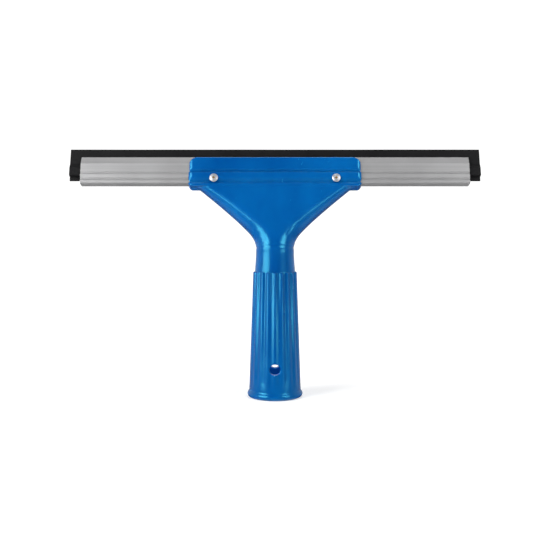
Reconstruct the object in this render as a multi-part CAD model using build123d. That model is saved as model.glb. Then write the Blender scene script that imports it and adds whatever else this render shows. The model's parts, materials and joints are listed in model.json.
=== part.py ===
from build123d import *
import os
from math import cos, pi, radians, sin

# Window cleaning squeegee with a 300 mm channel. Z is up along the pole socket's axis, X runs along the
# blade, and the front, where the rivets are, faces -Y. The origin is the centre of the socket's mouth.

# Grip and pole socket
GRIP_Z0 = 7.0  # height where the flutes start, just above the collar
GRIP_Z1 = 97.0  # height of the flutes' scalloped top end
GRIP_R0 = 19.9
GRIP_R1 = 16.8
FLUTES = 20
FLUTE_DEPTH0 = 0.25  # shallow beside the collar
FLUTE_DEPTH1 = 0.9  # deepest at the top end
COLLAR_R = 21.4
COLLAR_BEAD = 2.7  # radius of the rolled collar
SOCKET_R = 14.0
SOCKET_DEPTH = 86.0
LOCK_HOLE_R = 4.2
LOCK_HOLE_Z = 23.6

# Neck and the bend where the head starts to lean back
NECK_R0 = 15.6
NECK_R1 = 14.6
NECK_TOP_Z = 107.5  # the round neck starts to flare here
BEND_Z = 117.5
LEAN = 18.0  # degrees between the head and the pole's axis

# Fan, measured up the leaning head (w) and back from its front face (d)
FAN_TOP_W = 47.7
FAN_HALF_TOP = 58.4
FAN_FACE_D = 0.4  # the fan's face lies this far behind the head's front
FAN_MID_W = 20.4  # the straight diagonals start here and run up to the ears
FAN_MID_HALF = 25.8
FAN_SKIN = 3.4
POCKET_RIM = 5.0  # wall left along the diagonals, measured in x
POCKET_GAP = 1.2  # wall left under the head
RIB = 2.4
RIB_X = 28.0

# Head that wraps the channel
HEAD_HALF = 67.3
HEAD_W0 = 47.7
HEAD_W1 = 71.2
HEAD_DEPTH = 12.4
HEAD_LOW_CORNER = 4.5
HEAD_TOP_CORNER = 8.5
BAND_W0 = 51.2  # the raised band across the head's front
BAND_W1 = 60.0
BAND_RAISE = 0.45
BAND_FOOT = 0.4  # from the band's lower or upper line to the foot of its slope
BAND_SHOULDER = 1.6  # and to the slope's top
BAND_END = 1.5  # the band stops short of each end of the head
GROOVES = ((51.7, 1.2), (60.0, 0.8))  # height and radius of the groove on either side of the band
GROOVE_FLOAT = 0.35  # the share of its radius by which a groove's centre stands proud of the face

# Aluminium channel
CHANNEL_LENGTH = 300.0
CHANNEL_D0 = 1.8
CHANNEL_D1 = 10.4
CHANNEL_W0 = 50.4
CHANNEL_SHOULDER_W = 66.6
CHANNEL_W1 = 72.2
CHANNEL_WALL = 1.3
CHANNEL_BOTTOM_R = 1.8
CHANNEL_FOLD = 0.91  # thickness of the folded-in edges that grip the rubber
LINE_W = (53.9, 58.9)  # the two grooves along its front
LINE_R = 1.0
LINE_DEPTH = 0.55

# Rubber strip
RUBBER_LENGTH = 318.0
RUBBER_W0 = 53.9
RUBBER_STEP_W = 63.8
RUBBER_W1 = 79.2
LIP_THICKNESS = 2.4
RUBBER_GAP = 0.3
RUBBER_CHAMFER = 1.2
RUBBER_SLOPE = 3.5  # rise of the sloping shoulders between base and lip
RELIEF_W = 57.6  # the strip's front is cut back below this height, past the rivet tails
RELIEF_D = 6.6
RELIEF_SLOPE = 0.8

# Blind rivets
RIVET_X = 47.0
RIVET_W = 53.9
RIVET_HEAD_R = 3.3
RIVET_HEAD_H = 1.1
RIVET_EDGE = 0.25  # thickness of the head at its rim
RIVET_R = 1.6
RIVET_TAIL_R = 2.1
RIVET_TAIL_END_R = 1.5
RIVET_TAIL = 2.4
MANDREL_R = 0.95
MANDREL_SUNK = 0.5  # the stub has broken off this far below the rivet's dome
MANDREL_OUT = 0.2
MANDREL_BALL_R = 1.5
MANDREL_BALL = 0.5

OVERLAP = 1.0  # how far parts of the moulding run into each other before they are joined
ROUND_FLAT = 0.4  # flat left on a nearly round section, so that every section has the same eight edges
PAST = 40.0  # reaches well past whatever it cuts

FAN_SLOPE = (FAN_HALF_TOP - FAN_MID_HALF) / (FAN_TOP_W - FAN_MID_W)  # half width gained per mm of height
LEAN_SIN = sin(radians(LEAN))
LEAN_COS = cos(radians(LEAN))
BEND = Vector(0, -NECK_R1, BEND_Z)
UP_HEAD = Vector(0, LEAN_SIN, LEAN_COS)
BACK_HEAD = Vector(0, LEAN_COS, -LEAN_SIN)
SLOT_D = (CHANNEL_D0 + CHANNEL_D1) / 2  # the blade's middle plane
HALF_SLOT = LIP_THICKNESS / 2 + RUBBER_GAP
RIVET_GRIP = BAND_RAISE + CHANNEL_D0 + CHANNEL_WALL  # from the band to the inside of the channel's wall


def section_plane(x):
    """Across the blade: its own x is the depth d, its own y is the height w, and it faces +X."""
    return Plane(origin=BEND + Vector(x, 0, 0), x_dir=BACK_HEAD, z_dir=(1, 0, 0))


def front_plane(d):
    """Parallel to the head's front face at depth d: its own y is the height w, and it faces forward."""
    return Plane(origin=BEND + BACK_HEAD * d, x_dir=(1, 0, 0), z_dir=-BACK_HEAD)


def slice_plane(w):
    """Square to the head at height w: its own y is the depth d."""
    return Plane(origin=BEND + UP_HEAD * w, x_dir=(1, 0, 0), z_dir=UP_HEAD)


def along_blade(face, length):
    """Extrude a section drawn in d and w to a length centred on x = 0."""
    return extrude(section_plane(-length / 2) * face, amount=length)


def scallops(radius, depth, z):
    """A closed outline of FLUTES hollow arcs, with its crests on the radius."""
    pitch = 2 * pi / FLUTES
    arcs = []
    for i in range(FLUTES):
        points = []
        for share, r in ((0, radius), (0.5, radius - depth), (1, radius)):
            angle = (i + share) * pitch
            points.append((r * cos(angle), r * sin(angle)))
        arcs.append(ThreePointArc(*points))
    return Plane.XY.offset(z) * make_face(Curve() + arcs)


def grip():
    """The fluted grip with its rolled collar."""
    fluted = loft(
        [scallops(GRIP_R0, FLUTE_DEPTH0, GRIP_Z0), scallops(GRIP_R1, FLUTE_DEPTH1, GRIP_Z1)], ruled=True
    )
    rim_r = COLLAR_R - COLLAR_BEAD
    rim = Polyline((0, 0), (rim_r, 0))
    bead = ThreePointArc((rim_r, 0), (COLLAR_R, COLLAR_BEAD), (rim_r, 2 * COLLAR_BEAD))
    top_z = GRIP_Z0 + OVERLAP
    top = Polyline((rim_r, 2 * COLLAR_BEAD), (rim_r, top_z), (0, top_z), (0, 0))
    collar = revolve(Plane.XZ * make_face(rim + bead + top), axis=Axis.Z)
    return fluted + collar


def rounded_slab(half, d0, d1, front_r, back_r):
    """A closed section between depths d0 and d1 with rounded front and back corners."""
    corner = 1 - cos(pi / 4)
    lines = Polyline((-half + front_r, d0), (half - front_r, d0))
    lines += ThreePointArc(
        (half - front_r, d0), (half - front_r * corner, d0 + front_r * corner), (half, d0 + front_r)
    )
    lines += Line((half, d0 + front_r), (half, d1 - back_r))
    lines += ThreePointArc(
        (half, d1 - back_r), (half - back_r * corner, d1 - back_r * corner), (half - back_r, d1)
    )
    lines += Line((half - back_r, d1), (-half + back_r, d1))
    lines += ThreePointArc(
        (-half + back_r, d1), (-half + back_r * corner, d1 - back_r * corner), (-half, d1 - back_r)
    )
    lines += Line((-half, d1 - back_r), (-half, d0 + front_r))
    lines += ThreePointArc(
        (-half, d0 + front_r), (-half + front_r * corner, d0 + front_r * corner), (-half + front_r, d0)
    )
    return make_face(lines)


def fan():
    """The neck flaring into the fan, round below and flat above."""
    sections = []
    for z, radius in ((GRIP_Z1 - 2 * OVERLAP, NECK_R0), (NECK_TOP_Z, NECK_R1)):
        corner_r = radius - ROUND_FLAT
        sections.append(Plane.XY.offset(z) * rounded_slab(radius, -radius, radius, corner_r, corner_r))
    # height w, half width, depth, front corner radius, back corner radius
    flare = (
        (2.0, 14.6, 28.9, 14.0, 14.0),
        (8.0, 15.8, 27.2, 13.6, 12.5),
        (14.0, 19.8, 25.2, 12.0, 10.0),
        (FAN_MID_W, FAN_MID_HALF, 22.5, 10.0, 7.0),
        (32.3, 39.2, 17.5, 8.0, 4.0),
        (FAN_TOP_W + OVERLAP, FAN_HALF_TOP + FAN_SLOPE * OVERLAP, HEAD_DEPTH, 5.0, 2.0),
    )
    for w, half, depth, front_r, back_r in flare:
        sections.append(slice_plane(w) * rounded_slab(half, FAN_FACE_D, depth, front_r, back_r))
    return loft(sections, ruled=True)


def fan_pockets():
    """Hollows in the fan's back, which leave its front skin, a rim and three upright ribs."""
    top = HEAD_W0 - POCKET_GAP

    def rim_w(x):
        return FAN_MID_W + max(0, x + POCKET_RIM - FAN_MID_HALF) / FAN_SLOPE

    outer_x = FAN_MID_HALF - POCKET_RIM + (top - FAN_MID_W) * FAN_SLOPE
    inner = Polyline(
        (RIB / 2, rim_w(0)),
        (RIB_X / 2, rim_w(RIB_X / 2)),
        (RIB_X - RIB / 2, rim_w(RIB_X - RIB / 2)),
        (RIB_X - RIB / 2, top),
        (RIB / 2, top),
        (RIB / 2, rim_w(0)),
    )
    first_x = RIB_X + RIB / 2
    outer = Polyline((first_x, rim_w(first_x)), (outer_x, top), (first_x, top), (first_x, rim_w(first_x)))
    pockets = []
    for outline in (inner, outer):
        pocket = extrude(front_plane(FAN_SKIN) * make_face(outline), amount=-PAST)
        pockets.append(pocket)
        pockets.append(pocket.mirror(Plane.YZ))
    return pockets


def head():
    """The block across the top with its raised front band, before the channel's space is cut."""
    middle_w = (HEAD_W0 + HEAD_W1) / 2
    outline = Pos(0, middle_w) * Rectangle(2 * HEAD_HALF, HEAD_W1 - HEAD_W0)
    outline = fillet(outline.vertices().sort_by(Axis.Y)[:2], HEAD_LOW_CORNER)
    outline = fillet(outline.vertices().sort_by(Axis.Y)[-2:], HEAD_TOP_CORNER)
    block = extrude(front_plane(0) * outline, amount=-HEAD_DEPTH)
    band = make_face(
        Polyline(
            (OVERLAP, BAND_W0),
            (0, BAND_W0 + BAND_FOOT),
            (-BAND_RAISE, BAND_W0 + BAND_SHOULDER),
            (-BAND_RAISE, BAND_W1 - BAND_SHOULDER),
            (0, BAND_W1 - BAND_FOOT),
            (OVERLAP, BAND_W1),
            (OVERLAP, BAND_W0),
        )
    )
    block += along_blade(band, 2 * (HEAD_HALF - BAND_END))
    for w, radius in GROOVES:
        block -= along_blade(Pos(-radius * GROOVE_FLOAT, w) * Circle(radius), 2 * HEAD_HALF + PAST)
    return block


def channel_outline():
    """The channel's outer section, closed across the blade's slot, drawn in d and w."""
    lip_front = SLOT_D - HALF_SLOT - CHANNEL_FOLD
    lip_back = SLOT_D + HALF_SLOT + CHANNEL_FOLD
    outline = make_face(
        Polyline(
            (CHANNEL_D0, CHANNEL_W0),
            (CHANNEL_D1, CHANNEL_W0),
            (CHANNEL_D1, CHANNEL_SHOULDER_W),
            (lip_back, CHANNEL_W1),
            (lip_front, CHANNEL_W1),
            (CHANNEL_D0, CHANNEL_SHOULDER_W),
            (CHANNEL_D0, CHANNEL_W0),
        )
    )
    low_corners = outline.vertices().sort_by(Axis.Y)[:2]
    return fillet(low_corners, CHANNEL_BOTTOM_R)


def channel():
    """The extrusion: a folded section with a slot along its top and two grooves along its front."""
    face = channel_outline() - offset(channel_outline(), -CHANNEL_WALL)
    face -= Pos(SLOT_D, CHANNEL_W1) * Rectangle(2 * HALF_SLOT, 2 * (CHANNEL_W1 - CHANNEL_SHOULDER_W))
    for w in LINE_W:
        face -= Pos(CHANNEL_D0 + LINE_DEPTH - LINE_R, w) * Circle(LINE_R)
    return along_blade(face, CHANNEL_LENGTH)


def rubber():
    """The strip: a thick base under the channel's shoulders and a square-edged wiping lip above them."""
    d0 = CHANNEL_D0 + CHANNEL_WALL + RUBBER_GAP
    d1 = CHANNEL_D1 - CHANNEL_WALL - RUBBER_GAP
    lip0 = SLOT_D - LIP_THICKNESS / 2
    lip1 = SLOT_D + LIP_THICKNESS / 2
    face = make_face(
        Polyline(
            (RELIEF_D, RUBBER_W0),
            (d1 - RUBBER_CHAMFER, RUBBER_W0),
            (d1, RUBBER_W0 + RUBBER_CHAMFER),
            (d1, RUBBER_STEP_W),
            (lip1, RUBBER_STEP_W + RUBBER_SLOPE),
            (lip1, RUBBER_W1),
            (lip0, RUBBER_W1),
            (lip0, RUBBER_STEP_W + RUBBER_SLOPE),
            (d0, RUBBER_STEP_W),
            (d0, RELIEF_W),
            (RELIEF_D, RELIEF_W - RELIEF_SLOPE),
            (RELIEF_D, RUBBER_W0),
        )
    )
    return along_blade(face, RUBBER_LENGTH)


def rivet_plane(x):
    """On the head's raised front band, with its own z pointing forward."""
    place = BEND + Vector(x, 0, 0) + UP_HEAD * RIVET_W - BACK_HEAD * BAND_RAISE
    return Plane(origin=place, x_dir=(1, 0, 0), z_dir=-BACK_HEAD)


def rivet(x):
    """A domed blind rivet: head, shank through both skins, and the swollen tail inside the channel."""
    tail_end = -RIVET_GRIP - RIVET_TAIL
    outline = Polyline(
        (MANDREL_R, RIVET_HEAD_H),
        (MANDREL_R, tail_end),
        (RIVET_TAIL_END_R, tail_end),
        (RIVET_TAIL_R, -RIVET_GRIP - RIVET_TAIL / 2),
        (RIVET_R, -RIVET_GRIP),
        (RIVET_R, 0),
        (RIVET_HEAD_R, 0),
        (RIVET_HEAD_R, RIVET_EDGE),
    )
    dome_middle = (RIVET_HEAD_R * 0.72, RIVET_HEAD_H * 0.78)
    outline += ThreePointArc((RIVET_HEAD_R, RIVET_EDGE), dome_middle, (MANDREL_R, RIVET_HEAD_H))
    return rivet_plane(x) * revolve(Plane.XZ * make_face(outline), axis=Axis.Z)


def rod(radius, bottom, top):
    """A round bar along z."""
    return Pos(0, 0, bottom) * Cylinder(radius, top - bottom, align=(Align.CENTER, Align.CENTER, Align.MIN))


def mandrel(x):
    """The steel stub left in the rivet, broken off a little below the dome."""
    bottom = -RIVET_GRIP - RIVET_TAIL - MANDREL_OUT
    stub = rod(MANDREL_R, bottom, RIVET_HEAD_H - MANDREL_SUNK)
    stub += rod(MANDREL_BALL_R, bottom - MANDREL_BALL, bottom)
    return rivet_plane(x) * stub


def rivet_hole(x):
    """Room for a rivet's shank through the head's front and the channel's front wall."""
    return rivet_plane(x) * rod(RIVET_R, -RIVET_GRIP - OVERLAP, OVERLAP)


def handle():
    """The whole blue moulding: grip, neck, fan and head, with everything that is hollow cut out."""
    body = grip() + fan() + head()
    body -= along_blade(channel_outline(), 2 * HEAD_HALF + PAST)
    for pocket in fan_pockets():
        body -= pocket
    body -= rod(SOCKET_R, 0, SOCKET_DEPTH)
    body -= Pos(0, 0, LOCK_HOLE_Z) * Rot(90, 0, 0) * Cylinder(LOCK_HOLE_R, 2 * COLLAR_R + PAST)
    for x in (-RIVET_X, RIVET_X):
        body -= rivet_hole(x)
    return body


def drilled_channel():
    """The channel with a hole through its front wall for each rivet."""
    body = channel()
    for x in (-RIVET_X, RIVET_X):
        body -= rivet_hole(x)
    return body


nodes = {
    "handle_moulding": handle(),
    "blade_channel": drilled_channel(),
    "rubber_blade": rubber(),
    "rivet_left": rivet(-RIVET_X),
    "rivet_right": rivet(RIVET_X),
    "mandrel_left": mandrel(-RIVET_X),
    "mandrel_right": mandrel(RIVET_X),
}

os.makedirs("parts", exist_ok=True)
for name, shape in nodes.items():
    export_step(shape, f"parts/{name}.step")
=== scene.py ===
import json
import math

import bmesh
import bpy
import numpy as np
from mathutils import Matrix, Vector


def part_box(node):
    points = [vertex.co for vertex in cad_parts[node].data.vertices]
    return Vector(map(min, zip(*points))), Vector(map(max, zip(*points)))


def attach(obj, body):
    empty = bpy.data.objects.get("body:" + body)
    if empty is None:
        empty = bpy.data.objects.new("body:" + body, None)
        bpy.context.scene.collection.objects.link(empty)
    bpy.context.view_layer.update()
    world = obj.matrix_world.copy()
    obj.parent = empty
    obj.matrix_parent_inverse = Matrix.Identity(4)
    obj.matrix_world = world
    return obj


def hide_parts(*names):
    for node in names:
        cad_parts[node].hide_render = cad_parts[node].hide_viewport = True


# A window cleaning squeegee: one blue moulding that wraps an aluminium channel, the rubber strip in it and
# two blind rivets. Shapes are worked out in millimetres in the frame's own axes and written in metres.

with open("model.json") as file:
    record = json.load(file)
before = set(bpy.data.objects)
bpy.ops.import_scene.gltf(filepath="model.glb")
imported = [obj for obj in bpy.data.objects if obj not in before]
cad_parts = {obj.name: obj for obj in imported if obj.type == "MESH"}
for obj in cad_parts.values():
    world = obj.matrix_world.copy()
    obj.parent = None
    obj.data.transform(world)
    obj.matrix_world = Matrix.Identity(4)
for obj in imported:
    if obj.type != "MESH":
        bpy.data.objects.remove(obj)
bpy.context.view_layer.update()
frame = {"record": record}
MM = 0.001


def cad_size(node):
    """A CAD node's width, depth and height."""
    low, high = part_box(node)
    return (high - low) / MM


MOUNTS = {mount["name"]: mount for mount in frame["record"]["mounts"]}
SOCKET_R = MOUNTS["pole_socket"]["dims"]["r_mm"]
SOCKET_DEPTH = MOUNTS["pole_socket"]["dims"]["length_mm"]
SOCKET_END_R, SOCKET_MOUTH_R = 2.0, 0.8
LOCK_R = MOUNTS["lock_hole"]["dims"]["r_mm"]
LOCK_Z = MOUNTS["lock_hole"]["pos_m"][2] / MM
LOCK_EDGE_R = 0.4

# The grip
SHAFT_Z0 = 2.0
GRIP_Z0, GRIP_Z1 = 7.0, 97.0
GRIP_R0, GRIP_R1 = 19.9, 16.75
GRIP_EDGE_R = 0.9
COLLAR_R, COLLAR_BEAD = 21.35, 2.7
COLLAR_FILLET = 0.8
FLUTES = 20
FLUTE_TOP_DEPTH, FLUTE_LOW_DEPTH = 1.15, 0.35
FLUTE_START_Z, FLUTE_FULL_Z = 6.0, 16.0
FLUTE_SHARPNESS = 1.2

# The neck and the leaning head: w runs up the head from the bend, d runs back from the head's front face
NECK_R0, NECK_R1 = 15.6, 14.6
NECK_Z0, NECK_Z1 = 93.0, 111.5
NECK_ROOT_Z = 80.0  # out of sight inside the grip
NECK_FILLET = 0.5
BEND_Z = 117.5
BEND_BELOW, BEND_ABOVE = -5.0, 3.5  # the neck turns into the fan between these
CREASE_DEPTH, CREASE_WIDTH = 0.3, 1.1
LEAN = math.radians(18)
LEAN_SIN, LEAN_COS = math.sin(LEAN), math.cos(LEAN)
FACE_D = 0.4
# the fan's sections: height w, half width, depth, front corner radius, back corner radius
FLARE = np.array(
    [
        (0.0, 14.6, 28.9, 14.0, 13.9),
        (4.0, 14.8, 28.3, 13.9, 13.0),
        (8.0, 15.9, 27.2, 13.2, 11.5),
        (12.4, 18.4, 25.6, 12.0, 9.5),
        (20.4, 25.8, 22.4, 10.0, 6.5),
        (32.3, 39.2, 17.5, 8.0, 3.6),
        (48.7, 59.4, 12.4, 5.5, 1.5),
    ]
)
HALF_WIDTH, DEPTH, FRONT_R, BACK_R = 1, 2, 3, 4  # columns of FLARE
FAN_MID_W, FAN_MID_HALF = FLARE[4, 0], FLARE[4, HALF_WIDTH]  # the straight diagonals start here
FAN_TOP_W, FAN_TOP_HALF = FLARE[6, 0], FLARE[6, HALF_WIDTH]
FAN_END_W = 50.0  # out of sight inside the head
HEAD_HALF = cad_size("handle_moulding").x / 2 - 0.05
HEAD_W0, HEAD_W1 = 47.7, 71.2
HEAD_DEPTH = 12.4
HEAD_LOW_CORNER, HEAD_TOP_CORNER = 4.5, 8.5
HEAD_CORNER_W0, HEAD_CORNER_W1 = 55.0, 62.0  # the corner radius changes between these heights
HEAD_END_R, HEAD_BACK_R, HEAD_EDGE_R = 4.2, 2.0, 1.0
HEAD_FILLET, HEAD_FILLET_GAIN = 0.3, 1.5  # at the head's front and back, and how much more between them
FILLET_GROWS, FILLET_SHRINKS = (1, 3.5), (9, 11.5)  # depths between which it changes
BAND_W0, BAND_W1 = 51.2, 60.0
BAND_RAISE, BAND_SLOPE = 0.45, 1.8
GROOVES = ((BAND_W0 + 0.7, 1.7), (BAND_W1, 0.95))  # height and width of each
GROOVE_DEPTH = 1.3
GROOVE_FADE = 0.7  # the share of its depth that a groove has lost at the head's ends
GROOVE_FADE_START, GROOVE_FADE_END = 4.0, 1.0  # distances from the end

# Hollows in the fan's back
FAN_SKIN = 3.4
RIB = 2.4
RIB_X = 28.0
POCKET_TOP_W = 46.5
POCKET_RIM = 5.0  # wall left along the diagonals, measured in x
DIAGONAL_RISE = (FAN_TOP_W - FAN_MID_W) / (FAN_TOP_HALF - FAN_MID_HALF)
DIAGONAL_SHARE = 0.75  # turns a height over the diagonal into a distance from it
POCKET_CORNER_R, POCKET_EDGE_R = 1.0, 0.6

# The channel and the rubber
CHANNEL_HALF = cad_size("blade_channel").x / 2
CHANNEL_D0, CHANNEL_D1 = 1.8, 10.4
CHANNEL_W0, CHANNEL_SHOULDER_W, CHANNEL_W1 = 50.4, 66.6, 72.2
CHANNEL_WALL = 1.3
CHANNEL_FOLD = 0.7 * CHANNEL_WALL  # thickness of the folded-in edges that grip the rubber
CHANNEL_BOTTOM_R = 1.3
CHANNEL_GROOVES = (53.9, 58.9)
CHANNEL_GROOVE_HALF, CHANNEL_GROOVE_DEPTH = 0.9, 0.62
CHANNEL_FIT = 0.08  # gap between the channel and the moulding
CHANNEL_SPACE_EDGE_R = 0.4
SLOT_D = (CHANNEL_D0 + CHANNEL_D1) / 2
RUBBER_HALF = cad_size("rubber_blade").x / 2
RUBBER_W0, RUBBER_STEP_W, RUBBER_W1 = 53.9, 63.8, 79.2
RUBBER_GAP = 0.3
RUBBER_SLOPE = 3.5
RUBBER_CHAMFER = 1.2
LIP = 2.4
LIP_WAVE = 0.07
RELIEF_W, RELIEF_D, RELIEF_SLOPE = 57.6, 6.6, 0.8
HALF_SLOT = LIP / 2 + RUBBER_GAP
SHOULDER_SLOPE = (SLOT_D - HALF_SLOT - CHANNEL_FOLD - CHANNEL_D0) / (CHANNEL_W1 - CHANNEL_SHOULDER_W)

# The rivets: heights are measured from the band
RIVET_X, RIVET_W = 47.0, 53.9
RIVET_R, RIVET_HEAD_R, RIVET_HEAD_H = 1.6, 3.3, 1.1
RIVET_EDGE_R = 0.2
RIVET_GRIP = BAND_RAISE + CHANNEL_D0 + CHANNEL_WALL  # from the band to the inside of the channel's wall
RIVET_TAIL = 2.3
RIVET_HOLE_GAP, RIVET_HOLE_DEPTH = 0.05, 6.0
DOME_CENTRE, DOME_R = (1.3, -2.35), 3.4
TAIL_BULGE_IN, TAIL_BULGE_R = 1.2, 0.8
MANDREL_R = 0.95
MANDREL_SUNK, MANDREL_OUT = 0.25, 0.2
MANDREL_GAP = 0.01
# the torn end, from the axis outwards: radius and height
MANDREL_TEAR = ((0.2, 0.0), (0.4, 0.06), (0.6, 0.02), (0.75, 0.12), (0.88, 0.05))
TEAR_DEPTH, TEAR_RAGGED, TEAR_REACH = 0.12, 0.05, 0.7


def head_point(x, w, d):
    """A point given along the blade, up the head and back from its front face, in the frame's axes."""
    y = -NECK_R1 + w * LEAN_SIN + d * LEAN_COS
    z = BEND_Z + w * LEAN_COS - d * LEAN_SIN
    return (x, y, z)


# ---------------------------------------------------------------- the moulding as a field of distances


def join(a, b, radius):
    """Union of two fields with a fillet."""
    reach = np.hypot(np.maximum(radius - a, 0), np.maximum(radius - b, 0))
    return np.maximum(radius, np.minimum(a, b)) - reach


def meet(a, b, radius):
    """Intersection of two fields with a rounded edge."""
    reach = np.hypot(np.maximum(radius + a, 0), np.maximum(radius + b, 0))
    return np.minimum(-radius, np.maximum(a, b)) + reach


def cut(a, b, radius):
    """Field a less field b, with a rounded edge."""
    return meet(a, -b, radius)


def ease(low, high, value):
    """A smooth rise from 0 at low to 1 at high."""
    t = np.clip((value - low) / (high - low), 0, 1)
    return t * t * (3 - 2 * t)


def flowing(u, column):
    """A column of FLARE at heights u, on a curve that is smooth through its sections."""
    w, v = FLARE[:, 0], FLARE[:, column]
    slope = np.gradient(v, w)
    i = np.clip(np.searchsorted(w, u) - 1, 0, len(w) - 2)
    span = w[i + 1] - w[i]
    t = np.clip((u - w[i]) / span, 0, 1)
    rise = t * t * (3 - 2 * t)
    value = v[i] + (v[i + 1] - v[i]) * rise
    return value + span * (slope[i] * t * (1 - t) ** 2 - slope[i + 1] * t * t * (1 - t))


def flare_steepness(u):
    """Half width that the fan gains per mm of height."""
    above = np.clip(u + 0.5, 0, FAN_TOP_W)
    below = np.clip(u - 0.5, 0, FAN_TOP_W)
    return flowing(above, HALF_WIDTH) - flowing(below, HALF_WIDTH)


def grip_field(r, turn, z):
    """The fluted shaft and its rolled collar, at a distance from the socket's axis and a turn about it."""
    share = (z - GRIP_Z0) / (GRIP_Z1 - GRIP_Z0)
    taper = GRIP_R0 + (GRIP_R1 - GRIP_R0) * share
    depth = FLUTE_LOW_DEPTH + (FLUTE_TOP_DEPTH - FLUTE_LOW_DEPTH) * np.clip(share, 0, 1)
    depth = depth * ease(FLUTE_START_Z, FLUTE_FULL_Z, z)
    hollow = depth * (0.5 - 0.5 * np.cos(FLUTES * turn)) ** FLUTE_SHARPNESS
    ends = np.abs(z - (GRIP_Z1 + SHAFT_Z0) / 2) - (GRIP_Z1 - SHAFT_Z0) / 2
    shaft = meet(r - taper + hollow, ends, GRIP_EDGE_R)
    inner = np.clip(r, 0, COLLAR_R - COLLAR_BEAD)
    collar = np.hypot(r - inner, z - COLLAR_BEAD) - COLLAR_BEAD
    return join(shaft, collar, COLLAR_FILLET)


def neck_and_fan_field(x, y, z, r, w, d):
    """The round neck, which turns into the leaning fan at a faint crease."""
    neck_r = NECK_R0 + (NECK_R1 - NECK_R0) * ease(NECK_Z0, NECK_Z1, z)
    neck = np.maximum(r - neck_r, NECK_ROOT_Z - z)
    u = np.clip(w, 0, FAN_TOP_W)
    side = (np.abs(x) - flowing(u, HALF_WIDTH)) / np.hypot(1, flare_steepness(u))
    front = meet(FACE_D - d, side, flowing(u, FRONT_R))
    back = meet(side, d - flowing(u, DEPTH), flowing(u, BACK_R))
    fan = np.maximum(np.maximum(front, back), w - FAN_END_W)
    half_lean = LEAN / 2
    bend = z * math.cos(half_lean) + (y + NECK_R1) * math.sin(half_lean) - BEND_Z * math.cos(half_lean)
    share = ease(BEND_BELOW, BEND_ABOVE, bend)
    crease = CREASE_DEPTH * np.exp(-((bend / CREASE_WIDTH) ** 2))
    return neck * (1 - share) + fan * share + crease


def head_field(x, w, d):
    """The head's block, with its raised band and the groove on either side of it."""
    band = ease(BAND_W0, BAND_W0 + BAND_SLOPE, w) * (1 - ease(BAND_W1 - BAND_SLOPE, BAND_W1, w))
    grooves = sum(np.exp(-(((w - line) / wide) ** 2)) for line, wide in GROOVES)
    fading = ease(HEAD_HALF - GROOVE_FADE_START, HEAD_HALF - GROOVE_FADE_END, np.abs(x))
    grooves = grooves * (1 - GROOVE_FADE * fading)
    front = -d - (BAND_RAISE * band - GROOVE_DEPTH * grooves)
    back = d - HEAD_DEPTH
    across = np.abs(x) - HEAD_HALF
    up = np.abs(w - (HEAD_W0 + HEAD_W1) / 2) - (HEAD_W1 - HEAD_W0) / 2
    corner = HEAD_LOW_CORNER + (HEAD_TOP_CORNER - HEAD_LOW_CORNER) * ease(HEAD_CORNER_W0, HEAD_CORNER_W1, w)
    block = np.maximum(meet(across, up, corner), meet(across, front, HEAD_END_R))
    block = np.maximum(block, meet(up, front, HEAD_EDGE_R))
    return np.maximum(block, np.maximum(meet(across, back, HEAD_BACK_R), meet(up, back, HEAD_EDGE_R)))


def pocket_field(x, w, d):
    """The four hollows in the fan's back: one between each pair of ribs and one outside each outer rib."""
    side = np.abs(x)
    rim = FAN_MID_W + np.maximum(0, side - FAN_MID_HALF + POCKET_RIM) * DIAGONAL_RISE
    inner_walls = meet(RIB / 2 - side, side - RIB_X + RIB / 2, POCKET_CORNER_R)
    between = np.maximum(inner_walls, rim - w)
    outside = np.maximum(RIB_X + RIB / 2 - side, (rim - w) * DIAGONAL_SHARE)
    hollow = np.minimum(between, outside)
    hollow = meet(hollow, w - POCKET_TOP_W, POCKET_CORNER_R)
    return meet(hollow, FAN_SKIN - d, POCKET_CORNER_R)


def channel_space_field(w, d):
    """The room that the channel fills, seen along the blade."""
    middle = np.abs(d - SLOT_D) - (CHANNEL_D1 - CHANNEL_D0) / 2 - CHANNEL_FIT
    shoulder = (middle + (w - CHANNEL_SHOULDER_W) * SHOULDER_SLOPE) / math.hypot(1, SHOULDER_SLOPE)
    floor = CHANNEL_W0 - CHANNEL_FIT - w
    return np.maximum(meet(middle, floor, CHANNEL_BOTTOM_R), shoulder)


def socket_field(r, z):
    return meet(r - SOCKET_R, z - SOCKET_DEPTH, SOCKET_END_R)


def lock_hole_field(x, z):
    return np.hypot(x, z - LOCK_Z) - LOCK_R


def rivet_holes_field(x, w, d):
    holes = np.hypot(np.abs(x) - RIVET_X, w - RIVET_W) - RIVET_R - RIVET_HOLE_GAP
    return np.maximum(holes, d - RIVET_HOLE_DEPTH)


def moulding_field(x, y, z):
    """Negative inside the blue moulding, and about the distance to its surface nearby."""
    r = np.hypot(x, y)
    turn = np.arctan2(x, -y)
    forward = y + NECK_R1
    w = forward * LEAN_SIN + (z - BEND_Z) * LEAN_COS
    d = forward * LEAN_COS - (z - BEND_Z) * LEAN_SIN
    body = join(neck_and_fan_field(x, y, z, r, w, d), grip_field(r, turn, z), NECK_FILLET)
    fillet = HEAD_FILLET + HEAD_FILLET_GAIN * ease(*FILLET_GROWS, d) * (1 - ease(*FILLET_SHRINKS, d))
    body = join(body, head_field(x, w, d), fillet)
    body = cut(body, pocket_field(x, w, d), POCKET_EDGE_R)
    body = cut(body, channel_space_field(w, d), CHANNEL_SPACE_EDGE_R)
    body = cut(body, socket_field(r, z), SOCKET_MOUTH_R)
    body = cut(body, lock_hole_field(x, z), LOCK_EDGE_R)
    return cut(body, rivet_holes_field(x, w, d), RIVET_EDGE_R)


# ---------------------------------------------------------------- from a field to a mesh

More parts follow.
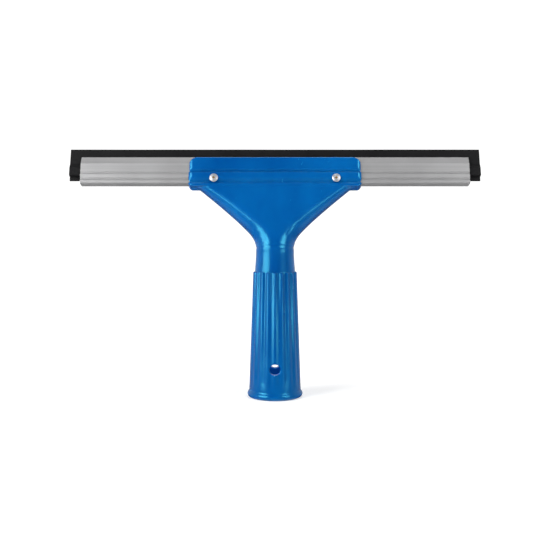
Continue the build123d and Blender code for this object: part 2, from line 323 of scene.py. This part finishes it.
LAYERS_AT_ONCE = 24
SLOPE_STEP = 0.02
PULLS = 4
LONGEST_PULL = 0.4


def steps(*stretches):
    """Grid lines: each stretch is (start, end, spacing)."""
    lines = []
    for start, end, spacing in stretches:
        count = max(1, round((end - start) / spacing))
        lines.extend(start + (end - start) * i / count for i in range(count))
    lines.append(stretches[-1][1])
    return np.array(lines)


def sampled(field, lines):
    """The field on the grid, a few layers at a time, with the empty air beside the grip left out."""
    xs, ys, zs = lines
    values = np.ones((len(xs), len(ys), len(zs)), np.float32)
    for k in range(0, len(zs), LAYERS_AT_ONCE):
        layer = zs[k : k + LAYERS_AT_ONCE]
        reach = HEAD_HALF + 5 if layer[-1] > BEND_Z - 10 else COLLAR_R + 3
        near = np.nonzero(np.abs(xs) < reach)[0]
        block = np.meshgrid(xs[near], ys, layer, indexing="ij")
        values[near[0] : near[-1] + 1, :, k : k + LAYERS_AT_ONCE] = field(*block)
    return values


def pairs_along(axis):
    """Slices that put each grid point beside the next one along an axis."""
    low = [slice(None)] * 3
    high = [slice(None)] * 3
    low[axis], high[axis] = slice(0, -1), slice(1, None)
    return tuple(low), tuple(high)


def cell_points(values, lines):
    """A point in each grid cell that the surface crosses, and an array of the cells' places in that list."""
    inside = values < 0
    shape = tuple(n - 1 for n in values.shape)
    total = np.zeros(shape + (3,), np.float32)
    count = np.zeros(shape, np.float32)
    for axis in range(3):
        low, high = pairs_along(axis)
        at = np.nonzero(inside[low] != inside[high])
        a, b = values[low][at], values[high][at]
        point = np.stack([lines[i][at[i]] for i in range(3)], 1)
        gap = lines[axis][at[axis] + 1] - lines[axis][at[axis]]
        point[:, axis] += a / (a - b) * gap
        first, second = [i for i in range(3) if i != axis]
        for step_a in (0, 1):
            for step_b in (0, 1):
                cell = [at[0].copy(), at[1].copy(), at[2].copy()]
                cell[first] -= step_a
                cell[second] -= step_b
                good = np.all([(cell[i] >= 0) & (cell[i] < shape[i]) for i in range(3)], axis=0)
                place = tuple(c[good] for c in cell)
                np.add.at(total, place, point[good])
                np.add.at(count, place, 1)
    used = np.nonzero(count)
    index = np.full(shape, -1, np.int64)
    index[used] = np.arange(len(used[0]))
    return (total[used] / count[used][:, None]).astype(float), index


def cell_faces(values, index):
    """A four-sided face round each grid edge that the surface crosses."""
    inside = values < 0
    faces = []
    for axis in range(3):
        low, high = pairs_along(axis)
        at = np.nonzero(inside[low] != inside[high])
        leaving = inside[low][at]
        u, v = [(1, 2), (2, 0), (0, 1)][axis]
        corners = []
        for step_u, step_v in ((1, 1), (0, 1), (0, 0), (1, 0)):
            cell = [at[0].copy(), at[1].copy(), at[2].copy()]
            cell[u] -= step_u
            cell[v] -= step_v
            corners.append(index[tuple(cell)])
        quads = np.stack(corners, 1)
        quads[~leaving] = quads[~leaving][:, ::-1]
        faces.append(quads)
    return np.concatenate(faces)


def slope_of(field, points):
    slope = np.empty_like(points)
    for axis in range(3):
        shift = np.zeros(3)
        shift[axis] = SLOPE_STEP
        slope[:, axis] = (field(*(points + shift).T) - field(*(points - shift).T)) / (2 * SLOPE_STEP)
    return slope


def pulled_on(field, points):
    """Points moved along the field's slope until they lie on its zero level."""
    for _ in range(PULLS):
        slope = slope_of(field, points)
        value = field(*points.T)
        move = slope * (value / np.maximum((slope**2).sum(1), 0.2))[:, None]
        points = points - np.clip(move, -LONGEST_PULL, LONGEST_PULL)
    return points


def mesh_object(name, points, faces, normals=None):
    """An object from points in millimetres."""
    mesh = bpy.data.meshes.new(name)
    mesh.from_pydata([tuple(p) for p in np.asarray(points) * MM], [], [tuple(f) for f in faces])
    mesh.update()
    mesh.shade_smooth()
    if normals is not None:
        mesh.normals_split_custom_set_from_vertices([tuple(n) for n in normals])
    piece = bpy.data.objects.new(name, mesh)
    bpy.context.scene.collection.objects.link(piece)
    return piece


def make_moulding():
    """The blue moulding, with a finer grid at its edges, at the lock hole and round the flutes."""
    xs = steps((-68.5, -60, 0.55), (-60, -22, 0.8), (-22, 22, 0.55), (22, 60, 0.8), (60, 68.5, 0.55))
    ys = steps((-22.3, 22.3, 0.55))
    low_zs = ((-1, 9, 0.5), (9, 17, 0.8), (17, 30, 0.5), (30, 94, 0.9))
    zs = steps(*low_zs, (94, 99, 0.45), (99, 158, 0.75), (158, 186, 0.5))
    lines = (xs, ys, zs)
    values = sampled(moulding_field, lines)
    points, index = cell_points(values, lines)
    points = pulled_on(moulding_field, points)
    slope = slope_of(moulding_field, points)
    normals = slope / np.linalg.norm(slope, axis=1)[:, None]
    piece = mesh_object("moulding", points, cell_faces(values, index), normals)
    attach(piece, "frame_body")
    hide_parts("handle_moulding")
    return piece


# ---------------------------------------------------------------- pieces with one section all along the blade


def rounded(corners, segments=5):
    """A closed outline from (w, d, radius) corners, each eased by a curve, and the way each point faces."""
    places, facings = [], []
    count = len(corners)
    for i, (w, d, radius) in enumerate(corners):
        here = np.array((w, d))
        back = np.array(corners[i - 1][:2]) - here
        ahead = np.array(corners[(i + 1) % count][:2]) - here
        back_side = back / np.linalg.norm(back)
        ahead_side = ahead / np.linalg.norm(ahead)
        angle = math.acos(float(np.clip(back_side @ ahead_side, -1, 1)))
        room = 0.48 * min(np.linalg.norm(back), np.linalg.norm(ahead))
        reach = min(radius / math.tan(angle / 2), room)
        start, end = here + back_side * reach, here + ahead_side * reach
        facing_in = np.array((-back_side[1], back_side[0]))
        facing_out = np.array((ahead_side[1], -ahead_side[0]))
        for k in range(segments + 1):
            t = k / segments
            places.append(start * (1 - t) ** 2 + here * 2 * t * (1 - t) + end * t * t)
            facing = facing_in * (1 - t) + facing_out * t
            facings.append(facing / np.linalg.norm(facing))
    return np.array(places), np.array(facings)


def along_blade(name, corners, half_length, spacing, easing, wander=None):
    """A solid with the same outline all along the blade, its cut ends slightly eased."""
    outline, facing = rounded(corners)
    middle = np.linspace(-half_length + easing, half_length - easing, round(2 * half_length / spacing))
    # each station: its x, how far the outline is drawn in, and how much its normals turn to the end
    tips = [(half_length, easing, 1.0), (half_length - 0.3 * easing, 0.3 * easing, 0.7)]
    stations = [(-x, inset, -turned) for x, inset, turned in tips]
    stations += [(x, 0.0, 0.0) for x in middle]
    stations += [(x, inset, turned) for x, inset, turned in reversed(tips)]
    points, normals, faces = [], [], []
    count = len(outline)
    for x, inset, turned in stations:
        side = math.sqrt(1 - turned * turned)
        for (w, d), (face_w, face_d) in zip(outline, facing):
            drift = wander(x, w) if wander else 0
            points.append(head_point(x, w - face_w * inset, d - face_d * inset + drift))
            normal_y = side * (face_w * LEAN_SIN + face_d * LEAN_COS)
            normal_z = side * (face_w * LEAN_COS - face_d * LEAN_SIN)
            normals.append((turned, normal_y, normal_z))
    for row in range(len(stations) - 1):
        a, b = row * count, (row + 1) * count
        faces.extend((a + i, b + i, b + (i + 1) % count, a + (i + 1) % count) for i in range(count))
    faces.append(tuple(range(count)))
    faces.append(tuple(reversed(range(len(points) - count, len(points)))))
    return mesh_object(name, points, faces, normals)


def channel_corners():
    """The channel's outline: along its bottom, up its front, round its inside and down its back."""
    low, high = CHANNEL_D0, CHANNEL_D1
    front_slot, back_slot = SLOT_D - HALF_SLOT, SLOT_D + HALF_SLOT
    inner_shoulder = CHANNEL_SHOULDER_W - CHANNEL_WALL * math.tan(math.atan(SHOULDER_SLOPE) / 2)
    inner_lip = inner_shoulder + (front_slot - low - CHANNEL_WALL) / SHOULDER_SLOPE
    floor = CHANNEL_W0 + CHANNEL_WALL
    corners = [(CHANNEL_W0, high, CHANNEL_BOTTOM_R), (CHANNEL_W0, low, CHANNEL_BOTTOM_R)]
    for w in CHANNEL_GROOVES:
        corners += [(w - CHANNEL_GROOVE_HALF, low, 0.25), (w, low + CHANNEL_GROOVE_DEPTH, 0.7)]
        corners += [(w + CHANNEL_GROOVE_HALF, low, 0.25)]
    corners += [(CHANNEL_SHOULDER_W, low, 1.2)]
    corners += [(CHANNEL_W1, front_slot - CHANNEL_FOLD, 0.3), (CHANNEL_W1, front_slot, 0.3)]
    corners += [(inner_lip, front_slot, 0.3), (inner_shoulder, low + CHANNEL_WALL, 0.6)]
    corners += [(floor, low + CHANNEL_WALL, 0.5), (floor, high - CHANNEL_WALL, 0.5)]
    corners += [(inner_shoulder, high - CHANNEL_WALL, 0.6), (inner_lip, back_slot, 0.3)]
    corners += [(CHANNEL_W1, back_slot, 0.3), (CHANNEL_W1, back_slot + CHANNEL_FOLD, 0.3)]
    corners += [(CHANNEL_SHOULDER_W, high, 1.2)]
    return corners


def make_channel():
    piece = along_blade("channel", channel_corners(), CHANNEL_HALF, spacing=4, easing=0.2)
    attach(piece, "frame_body")
    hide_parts("blade_channel")
    return piece


def rubber_corners():
    """The strip's outline: the relief at its front, the sloping shoulders and the lip."""
    front, back = CHANNEL_D0 + CHANNEL_WALL + RUBBER_GAP, CHANNEL_D1 - CHANNEL_WALL - RUBBER_GAP
    lip_front, lip_back = SLOT_D - LIP / 2, SLOT_D + LIP / 2
    step = RUBBER_STEP_W + RUBBER_SLOPE
    return [
        (RUBBER_W0, back - RUBBER_CHAMFER, 0.3),
        (RUBBER_W0, RELIEF_D, 0.3),
        (RELIEF_W - RELIEF_SLOPE, RELIEF_D, 0.3),
        (RELIEF_W, front, 0.3),
        (RUBBER_STEP_W, front, 0.4),
        (step, lip_front, 0.5),
        (RUBBER_W1, lip_front, 0.12),
        (RUBBER_W1, lip_back, 0.12),
        (step, lip_back, 0.5),
        (RUBBER_STEP_W, back, 0.4),
        (RUBBER_W0 + RUBBER_CHAMFER, back, 0.3),
    ]


def lip_wander(x, w):
    """The lip's slight waves towards the back, none of them where the channel holds it."""
    rise = max(0, (w - CHANNEL_W1) / (RUBBER_W1 - CHANNEL_W1))
    waves = math.sin(x / 23) + 0.6 * math.sin(x / 9.1 + 1) + 0.4 * math.sin(x / 41 + 2)
    return LIP_WAVE * rise * (2 + waves)


def make_rubber():
    piece = along_blade("rubber", rubber_corners(), RUBBER_HALF, 2, 0.15, lip_wander)
    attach(piece, "blade")
    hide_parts("rubber_blade")
    return piece


# ---------------------------------------------------------------- rivets


def arc(centre, radius, start, end, count=7):
    """Points (distance from the rivet's axis, height above the band) round part of a circle."""
    angles = np.radians(np.linspace(start, end, count))
    return [(centre[0] + radius * math.cos(a), centre[1] + radius * math.sin(a)) for a in angles]


def ring_faces(low, high, segments):
    """Faces between two rings of points, given the number of the first point in each."""
    nexts = [(i + 1) % segments for i in range(segments)]
    return [(low + i, high + i, high + nexts[i], low + nexts[i]) for i in range(segments)]


def cap_faces(tip, ring, segments, flipped):
    """Faces from a ring of points to a tip on the axis."""
    nexts = [(i + 1) % segments for i in range(segments)]
    if flipped:
        return [(tip, ring + nexts[i], ring + i) for i in range(segments)]
    return [(tip, ring + i, ring + nexts[i]) for i in range(segments)]


def turned_about(name, profile, x, segments=72):
    """A solid turned about a rivet's axis: a plug if its profile starts and ends on the axis, else a ring."""
    points, faces = [], []
    for radius, height in profile:
        turns = 1 if radius == 0 else segments
        for k in range(turns):
            a = math.tau * k / segments
            across, up = radius * math.cos(a), radius * math.sin(a)
            points.append(head_point(x + across, RIVET_W + up, -BAND_RAISE - height))
    if profile[0][0] == 0:
        rings = [1 + k * segments for k in range(len(profile) - 2)]
        faces += cap_faces(0, rings[0], segments, flipped=False)
        faces += cap_faces(len(points) - 1, rings[-1], segments, flipped=True)
        pairs = zip(rings[:-1], rings[1:])
    else:
        rings = [k * segments for k in range(len(profile))]
        pairs = zip(rings, rings[1:] + rings[:1])
    for low, high in pairs:
        faces += ring_faces(low, high, segments)
    piece = mesh_object(name, points, faces)
    piece.data.set_sharp_from_angle(angle=math.radians(50))
    return piece


def make_rivet(name, x):
    """A domed blind rivet: a set head round its broken-off mandrel, a shank and a swollen tail."""
    bead = (MANDREL_R + 0.22, RIVET_HEAD_H - RIVET_EDGE_R)
    rim = (RIVET_HEAD_R - RIVET_EDGE_R, RIVET_EDGE_R)
    tail = (RIVET_R - 0.3, -RIVET_GRIP - TAIL_BULGE_IN)
    profile = [(MANDREL_R, -RIVET_GRIP - RIVET_TAIL), (MANDREL_R, RIVET_HEAD_H - 0.15)]
    profile += arc(bead, RIVET_EDGE_R, 180, 60, 6)
    profile += arc(DOME_CENTRE, DOME_R, 82, 62, 7)
    profile += arc(rim, RIVET_EDGE_R, 62, -90, 8)
    profile += [(RIVET_R + 0.1, 0), (RIVET_R, -0.1), (RIVET_R, -RIVET_GRIP + 0.05)]
    profile += arc(tail, TAIL_BULGE_R, 60, -60, 7)
    profile += [(MANDREL_R + 0.3, -RIVET_GRIP - RIVET_TAIL)]
    piece = turned_about(name, profile, x)
    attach(piece, "frame_body")
    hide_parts(name.replace("_set", ""))
    return piece


def make_mandrel(name, x, seed):
    """The steel stub left in a rivet: a torn end, a straight stem and the ball that swelled the tail."""
    top = RIVET_HEAD_H - MANDREL_SUNK
    bottom = -RIVET_GRIP - RIVET_TAIL - MANDREL_OUT
    stem_r = MANDREL_R - MANDREL_GAP
    profile = [(0, top - TEAR_DEPTH)]
    profile += [(radius, top - TEAR_DEPTH + height) for radius, height in MANDREL_TEAR]
    profile += [(stem_r, top - 0.08), (stem_r, bottom)]
    profile += [(1.35, bottom - 0.05), (1.5, bottom - 0.25), (1.35, bottom - 0.5), (0, bottom - 0.5)]
    piece = turned_about(name, profile, x, 36)
    torn_end = Vector(head_point(x, RIVET_W, -BAND_RAISE - top)) * MM
    rng = np.random.default_rng(seed)
    for vertex in piece.data.vertices:
        if (vertex.co - torn_end).length < TEAR_REACH * MM:
            vertex.co.y += rng.uniform(-TEAR_RAGGED, TEAR_RAGGED) * MM
    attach(piece, "frame_body")
    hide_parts(name.replace("_stub", ""))
    return piece


# ---------------------------------------------------------------- materials


class Shading:
    """A principled material and short ways to feed it."""

    def __init__(self, name):
        self.material = bpy.data.materials.new(name)
        self.material.use_nodes = True
        self.tree = self.material.node_tree
        self.surface = self.tree.nodes["Principled BSDF"]
        self.place = self.tree.nodes.new("ShaderNodeTexCoord").outputs["Object"]

    def set(self, name, value):
        self.surface.inputs[name].default_value = value

    def link(self, value, socket):
        self.tree.links.new(value, socket)

    def feed(self, name, value):
        self.link(value, self.surface.inputs[name])

    def stretched(self, scale):
        node = self.tree.nodes.new("ShaderNodeMapping")
        node.inputs["Scale"].default_value = scale
        self.link(self.place, node.inputs["Vector"])
        return node.outputs["Vector"]

    def noise(self, scale, detail=3.0, rough=0.5, vector=None):
        node = self.tree.nodes.new("ShaderNodeTexNoise")
        node.inputs["Scale"].default_value = scale
        node.inputs["Detail"].default_value = detail
        node.inputs["Roughness"].default_value = rough
        self.link(vector or self.place, node.inputs["Vector"])
        return node.outputs["Fac"]

    def spread(self, value, low, high, new_low, new_high):
        """A value between low and high stretched to lie between new_low and new_high."""
        node = self.tree.nodes.new("ShaderNodeMapRange")
        for key, number in zip(("From Min", "From Max", "To Min", "To Max"), (low, high, new_low, new_high)):
            node.inputs[key].default_value = number
        self.link(value, node.inputs["Value"])
        return node.outputs["Result"]

    def tint(self, share, colour_a, colour_b):
        node = self.tree.nodes.new("ShaderNodeMix")
        node.data_type = "RGBA"
        node.inputs["A"].default_value = (*colour_a, 1)
        node.inputs["B"].default_value = (*colour_b, 1)
        self.link(share, node.inputs["Factor"])
        return node.outputs["Result"]

    def math(self, operation, a, b):
        node = self.tree.nodes.new("ShaderNodeMath")
        node.operation = operation
        for socket, value in zip(node.inputs, (a, b)):
            if isinstance(value, (int, float)):
                socket.default_value = value
            else:
                self.link(value, socket)
        return node.outputs["Value"]

    def sum(self, a, b, share_a=1, share_b=1):
        """Two values added up, each multiplied by its share."""
        a = a if share_a == 1 else self.math("MULTIPLY", a, share_a)
        b = b if share_b == 1 else self.math("MULTIPLY", b, share_b)
        return self.math("ADD", a, b)

    def bump(self, height, distance, strength=1.0):
        node = self.tree.nodes.new("ShaderNodeBump")
        node.inputs["Distance"].default_value = distance
        node.inputs["Strength"].default_value = strength
        self.link(height, node.inputs["Height"])
        self.feed("Normal", node.outputs["Normal"])

    def give(self, piece):
        piece.data.materials.clear()
        piece.data.materials.append(self.material)


def blue_plastic():
    """Glossy polypropylene: a little light passes in, the polish is uneven, and handling has scuffed it."""
    look = Shading("blue_plastic")
    flow = look.noise(24, 3, 0.55, look.stretched((1, 1, 0.6)))
    deep, pale = (0.0002, 0.048, 0.198), (0.0008, 0.080, 0.272)
    look.feed("Base Color", look.tint(look.spread(flow, 0.3, 0.7, 0, 1), deep, pale))
    polish = look.noise(70, 3)
    scuffs = look.noise(420, 4, 0.6, look.stretched((1, 1, 0.12)))
    moulded = look.spread(polish, 0.3, 0.7, 0.18, 0.26)
    look.feed("Roughness", look.sum(moulded, look.spread(scuffs, 0.60, 0.80, 0, 0.10)))
    look.set("IOR", 1.49)
    look.set("Specular IOR Level", 0.75)
    look.set("Specular Tint", (0.12, 0.85, 1.0, 1))
    look.set("Subsurface Weight", 0.25)
    look.set("Subsurface Scale", 0.006)
    look.set("Subsurface Radius", (0.05, 0.5, 1.0))
    peel = look.noise(520, 2)
    sink = look.noise(45, 1)
    look.bump(look.sum(peel, sink, 0.3, 0.6), 0.00010, 0.6)
    return look


def extruded_aluminium():
    """Mill-finish extrusion: die lines along the blade, a dull oxide bloom and a few handling marks."""
    look = Shading("channel_aluminium")
    lines = look.noise(1, 6, 0.7, look.stretched((3, 2600, 2600)))
    broad = look.noise(1, 3, 0.5, look.stretched((1.5, 420, 420)))
    bloom = look.noise(38, 4, 0.6)
    tone = look.sum(broad, bloom, 0.6, 0.4)
    dark, light = (0.285, 0.285, 0.289), (0.35, 0.35, 0.354)
    look.feed("Base Color", look.tint(look.spread(tone, 0.35, 0.65, 0, 1), dark, light))
    drawn = look.spread(lines, 0.3, 0.7, 0.50, 0.60)
    look.feed("Roughness", look.sum(drawn, look.spread(bloom, 0.45, 0.7, 0, 0.08)))
    look.set("Metallic", 0.75)
    look.bump(look.sum(lines, broad, 1, 1.5), 0.00002, 0.5)
    return look


def blade_rubber():
    """Matt black rubber with moulding bloom, a fine skin texture and grey dust."""
    look = Shading("blade_rubber")
    cloud = look.noise(60, 5, 0.6)
    dust = look.noise(1500, 3, 0.6)
    bloom = look.spread(cloud, 0.4, 0.8, 0, 0.5)
    pale = look.math("MULTIPLY", bloom, look.spread(dust, 0.5, 0.75, 0.3, 1))
    look.feed("Base Color", look.tint(pale, (0.004, 0.004, 0.0045), (0.016, 0.016, 0.017)))
    look.feed("Roughness", look.spread(cloud, 0.3, 0.7, 0.50, 0.66))
    look.set("IOR", 1.42)
    look.set("Specular IOR Level", 0.15)
    drag = look.noise(1, 4, 0.6, look.stretched((60, 1800, 1800)))
    look.bump(look.sum(drag, dust, 1, 0.5), 0.00005, 0.6)
    return look


def bright_rivet():
    """Bright aluminium, mottled and grained by the setting tool."""
    look = Shading("rivet_aluminium")
    spots = look.noise(900, 3, 0.6)
    bright, dull = (0.52, 0.53, 0.56), (0.41, 0.42, 0.44)
    look.feed("Base Color", look.tint(look.spread(spots, 0.3, 0.75, 0, 1), bright, dull))
    look.feed("Roughness", look.spread(spots, 0.3, 0.7, 0.38, 0.50))
    look.set("Metallic", 0.8)
    look.bump(look.noise(2500, 2), 0.00002, 0.5)
    return look


def dull_steel():
    """Steel browned by damp where it has torn."""
    look = Shading("mandrel_steel")
    rust = look.noise(2200, 4, 0.65)
    brown, grey = (0.14, 0.085, 0.03), (0.32, 0.22, 0.10)
    look.feed("Base Color", look.tint(look.spread(rust, 0.35, 0.65, 0, 1), brown, grey))
    look.feed("Roughness", look.spread(rust, 0.3, 0.7, 0.65, 0.42))
    look.set("Metallic", 0.75)
    look.bump(rust, 0.00005, 0.8)
    return look


# ---------------------------------------------------------------- floor, light and camera

FLOOR_SIZE = 30
AIM = Vector((0, 0, 94.3)) * MM
LOW_AIM = Vector((0, 0, 0.12))
CAMERA_DISTANCE = 658.8 * MM
CAMERA_RISE = math.radians(4)
LENS = 56.0
SENSOR = 36


def make_floor():
    """A pale floor with painted light: its own glow is weaker near the object and brightens to white away
    from it.
    """
    mesh = bpy.data.meshes.new("floor")
    grid = bmesh.new()
    bmesh.ops.create_grid(grid, x_segments=8, y_segments=8, size=FLOOR_SIZE)
    grid.to_mesh(mesh)
    grid.free()
    floor = bpy.data.objects.new("floor", mesh)
    bpy.context.scene.collection.objects.link(floor)
    look = Shading("floor")
    patch = look.noise(3, 2)
    grey, pale = (0.70, 0.70, 0.70), (0.74, 0.74, 0.74)
    look.feed("Base Color", look.tint(look.spread(patch, 0.3, 0.7, 0, 1), grey, pale))
    # painted light: the floor glows by its own emission, weaker near the object and at full strength from 0.8
    # m out, standing in for lamp light on the far floor
    reach = look.tree.nodes.new("ShaderNodeVectorMath")
    reach.operation = "LENGTH"
    look.link(look.place, reach.inputs[0])
    look.feed("Emission Strength", look.spread(reach.outputs["Value"], 0.05, 0.8, 0.40, 1.0))
    look.set("Emission Color", (1, 1, 1, 1))
    look.set("Roughness", 0.8)
    look.give(floor)
    floor.visible_glossy = False


def add_light(name, kind, place, watts):
    light = bpy.data.lights.new(name, kind)
    light.energy = watts
    lamp = bpy.data.objects.new(name, light)
    lamp.location = place
    bpy.context.scene.collection.objects.link(lamp)
    return lamp


def soft_light(name, place, target, width, height, watts):
    """A rectangular light that faces a target, as a studio softbox does."""
    lamp = add_light(name, "AREA", place, watts)
    lamp.data.shape = "RECTANGLE"
    lamp.data.size, lamp.data.size_y = width, height
    lamp.rotation_euler = (Vector(target) - Vector(place)).to_track_quat("-Z", "Y").to_euler()
    return lamp


def light_the_object():
    """Softboxes to the left, right and above, and two low strips that pick out the fan's edges."""
    soft_light("key", (-0.72, -0.50, 0.29), AIM, 0.62, 0.58, 8.6)
    soft_light("fill", (0.60, -0.50, 0.50), AIM, 0.40, 0.48, 4.6)
    soft_light("wing", (-0.62, -0.44, 0.62), AIM, 0.45, 0.3, 2.8)
    soft_light("overhead", (0.0, -0.05, 0.85), AIM, 0.5, 0.12, 0.7)
    for name, x, watts in (("low_right", 0.46, 0.42), ("low_left", -0.46, 0.28)):
        strip = soft_light(name, (x, -0.42, 0.028), LOW_AIM, 0.30, 0.05, watts)
        strip.visible_camera = False
    soft_light("rim", (0.1, 0.35, 0.85), AIM, 0.5, 0.3, 1.5)


def light_the_socket():
    """The light that the real plastic's wall lets through, so that the lock hole isn't black inside."""
    lamp = add_light("light_through_the_wall", "POINT", (0, 0, 0.055), 0.06)
    lamp.data.color = (0.5, 0.8, 1.0)
    lamp.data.shadow_soft_size = 0.006


def white_surroundings(seen, cast):
    """A white room whose light on the object comes from its back and sides, with the front left dark."""
    world = bpy.data.worlds.new("surroundings")
    bpy.context.scene.world = world
    world.use_nodes = True
    nodes, links = world.node_tree.nodes, world.node_tree.links
    sky = nodes["Background"]
    sky.inputs["Color"].default_value = (1, 1, 1, 1)
    direction = nodes.new("ShaderNodeSeparateXYZ")
    links.new(nodes.new("ShaderNodeTexCoord").outputs["Generated"], direction.inputs["Vector"])

    def ramp(axis, start, end, low, high):
        """A level that goes from low to high as a direction's part along an axis goes from start to end."""
        node = nodes.new("ShaderNodeMapRange")
        node.interpolation_type = "SMOOTHSTEP"
        for key, number in zip(("From Min", "From Max", "To Min", "To Max"), (start, end, low, high)):
            node.inputs[key].default_value = number
        links.new(direction.outputs[axis], node.inputs["Value"])
        return node.outputs["Result"]

    def combine(operation, first, second):
        node = nodes.new("ShaderNodeMath")
        node.operation = operation
        links.new(first, node.inputs[0])
        links.new(second, node.inputs[1])
        return node.outputs["Value"]

    behind = ramp("Y", -0.45, 0.35, 0.01, cast)
    dimmer_above = ramp("Z", 0.25, 0.85, 1.0, 0.5)
    dark_below = ramp("Z", -0.35, 0.0, 0.1, 1.0)
    room = combine("MULTIPLY", combine("MULTIPLY", behind, dimmer_above), dark_below)
    table = combine("MULTIPLY", ramp("Z", -0.8, -0.4, 0.9, 0.0), ramp("Y", 0.3, 0.9, 1.0, 0.0))
    level = nodes.new("ShaderNodeMix")
    level.inputs["B"].default_value = seen
    links.new(combine("MAXIMUM", room, table), level.inputs["A"])
    links.new(nodes.new("ShaderNodeLightPath").outputs["Is Camera Ray"], level.inputs["Factor"])
    links.new(level.outputs["Result"], sky.inputs["Strength"])


def make_camera():
    data = bpy.data.cameras.new("camera")
    data.lens = LENS
    data.sensor_width = SENSOR
    data.clip_start = 0.01
    camera = bpy.data.objects.new("camera", data)
    back = Vector((0, -math.cos(CAMERA_RISE), math.sin(CAMERA_RISE)))
    camera.location = AIM + back * CAMERA_DISTANCE
    camera.rotation_euler = (-back).to_track_quat("-Z", "Y").to_euler()
    bpy.context.scene.collection.objects.link(camera)
    bpy.context.scene.camera = camera


make_camera()
white_surroundings(seen=1.15, cast=0.6)
light_the_object()
light_the_socket()
make_floor()

blue_plastic().give(make_moulding())
extruded_aluminium().give(make_channel())
blade_rubber().give(make_rubber())
rivet_metal = bright_rivet()
mandrel_metal = dull_steel()
for side, x, seed in (("left", -RIVET_X, 3), ("right", RIVET_X, 8)):
    rivet_metal.give(make_rivet(f"rivet_{side}_set", x))
    mandrel_metal.give(make_mandrel(f"mandrel_{side}_stub", x, seed))

bpy.context.scene.view_settings.view_transform = "Standard"
